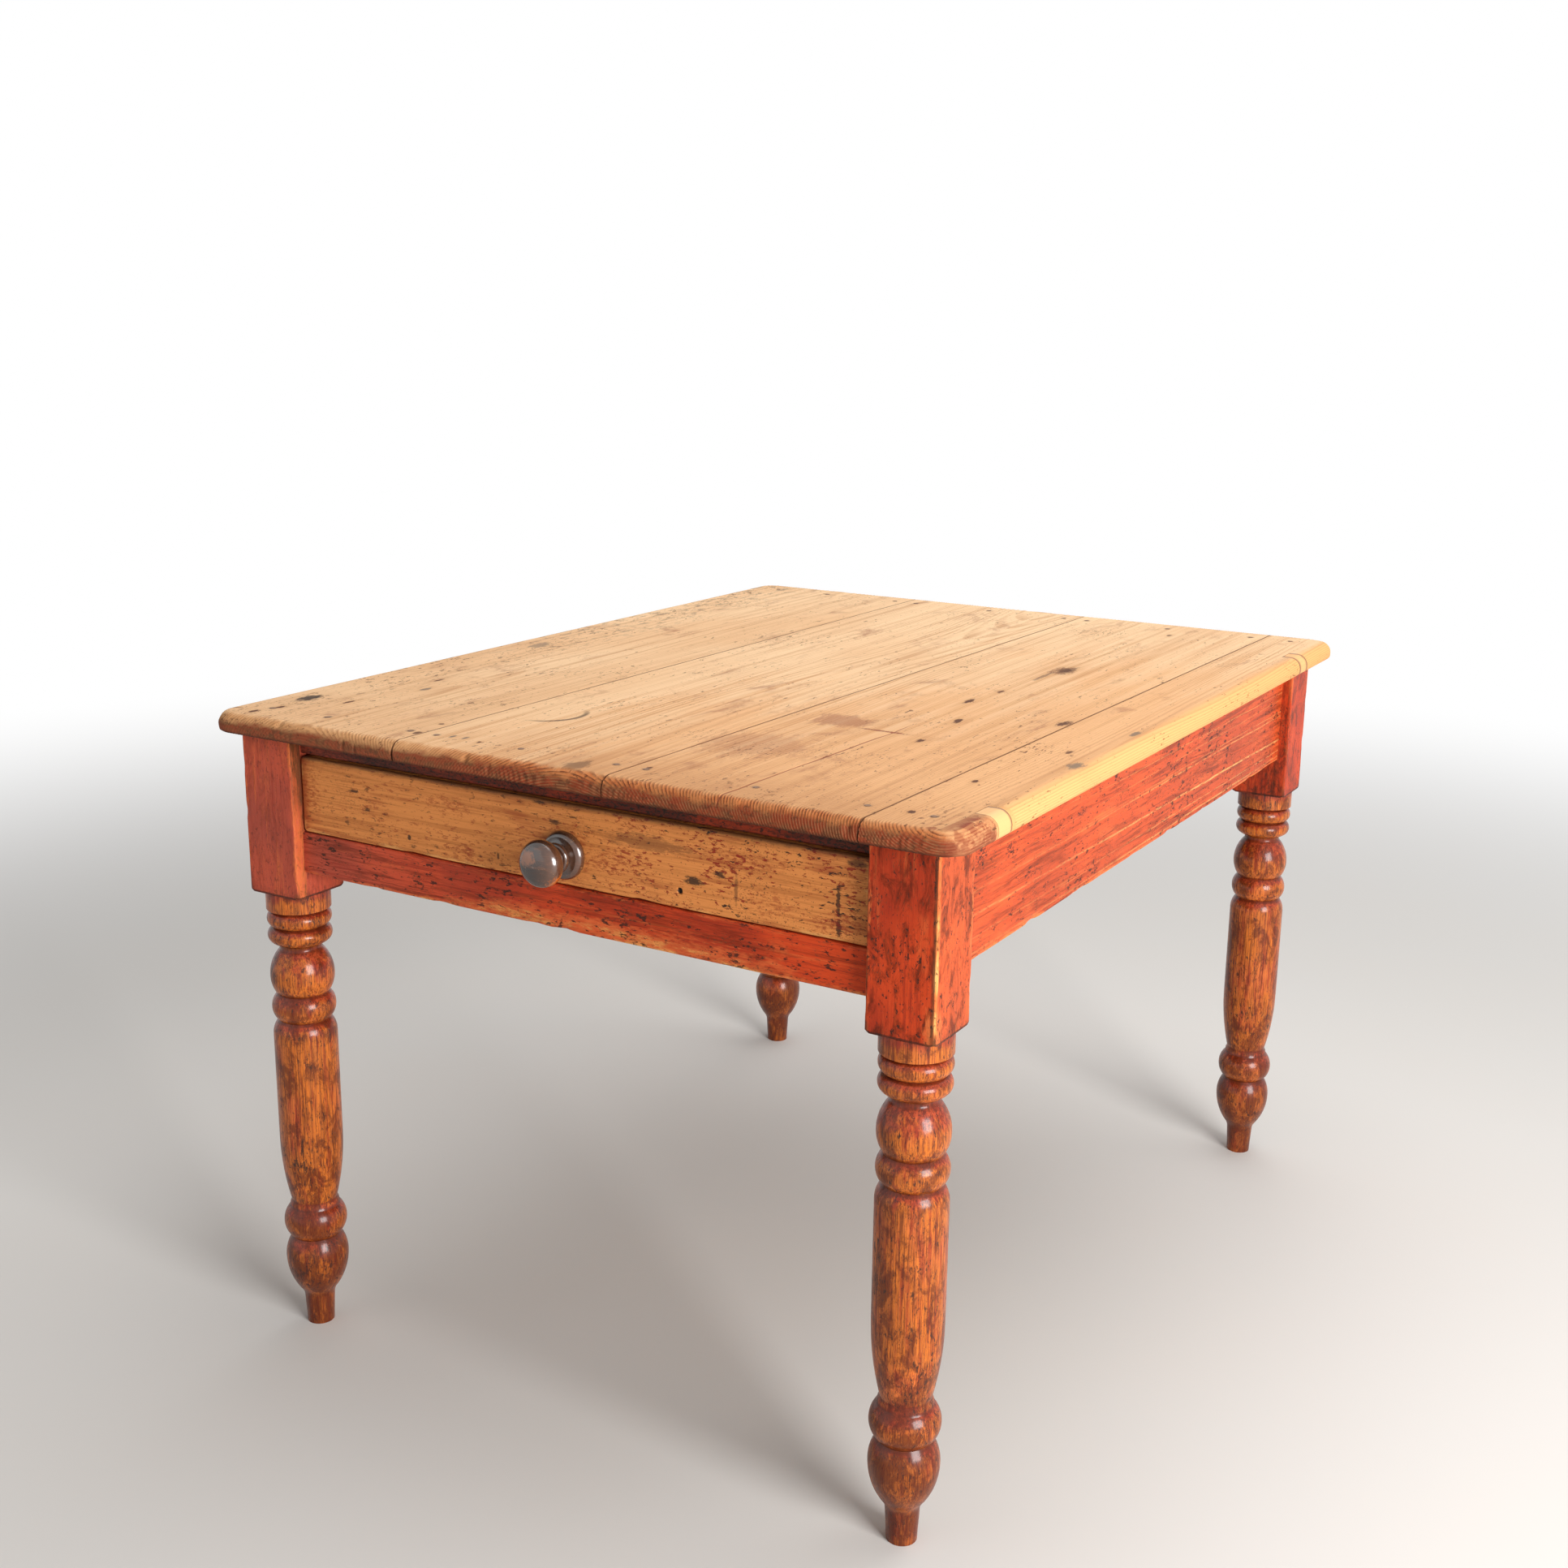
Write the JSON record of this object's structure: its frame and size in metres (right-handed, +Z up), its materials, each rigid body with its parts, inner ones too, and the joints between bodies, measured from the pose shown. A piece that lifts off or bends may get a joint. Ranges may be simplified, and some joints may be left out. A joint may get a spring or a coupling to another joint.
{
  "type": "kitchen table",
  "caption": "Old pine kitchen table: plank top with rounded edges, red-painted frame on turned legs, and a dovetailed end drawer with a dark turned knob.",
  "frame": {"origin": "on the floor, at the middle of the whole part's box", "axes": "+Z up; X across the table; Y along it, with the drawer facing -Y"},
  "size_m": [0.93, 1.2074, 0.76],
  "materials": {
    "top_pine": "waxed bare pine, dented",
    "patch_pine": "newer pale pine",
    "red_paint": "old red paint, rubbed",
    "leg_red": "old red paint, rubbed to the wood on the turning",
    "drawer_front_pine": "stripped pine with flecks of old paint",
    "drawer_pine": "bare pine",
    "inner_pine": "bare pine, darkened",
    "knob_wood": "dark polished hardwood",
    "nail_iron": "dull old iron"
  },
  "bodies": {
    "table": {"top_board_1": "top_pine", "top_board_2": "top_pine", "top_board_3": "top_pine", "top_board_4": "top_pine", "edge_patch_front": "patch_pine", "edge_patch_rear": "patch_pine", "side_apron_left": "red_paint", "side_apron_right": "red_paint", "rear_apron": "red_paint", "drawer_rail_lower": "red_paint", "drawer_rail_upper": "red_paint", "leg_front_left": "leg_red", "leg_front_right": "leg_red", "leg_rear_left": "leg_red", "leg_rear_right": "leg_red", "drawer_runner_left": "inner_pine", "drawer_runner_right": "inner_pine", "drawer_guide_left": "inner_pine", "drawer_guide_right": "inner_pine", "drawer_kicker_left": "inner_pine", "drawer_kicker_right": "inner_pine", "drawer_stop_left": "inner_pine", "drawer_stop_right": "inner_pine", "glue_blocks_left": "inner_pine", "glue_blocks_right": "inner_pine", "glue_blocks_rear": "inner_pine", "top_nails": "nail_iron", "guide_nails": "nail_iron"},
    "drawer": {"drawer_front": "drawer_front_pine", "drawer_side_left": "drawer_pine", "drawer_side_right": "drawer_pine", "drawer_back": "drawer_pine", "drawer_bottom_front": "drawer_pine", "drawer_bottom_middle": "drawer_pine", "drawer_bottom_rear": "drawer_pine", "drawer_knob": "knob_wood", "drawer_bottom_nails": "nail_iron"}
  },
  "joints": [
    {"name": "drawer_slide", "type": "slide", "parent": "table", "child": "drawer", "axis": [0, -1, 0], "range_m": [0, 0.42]}
  ]
}
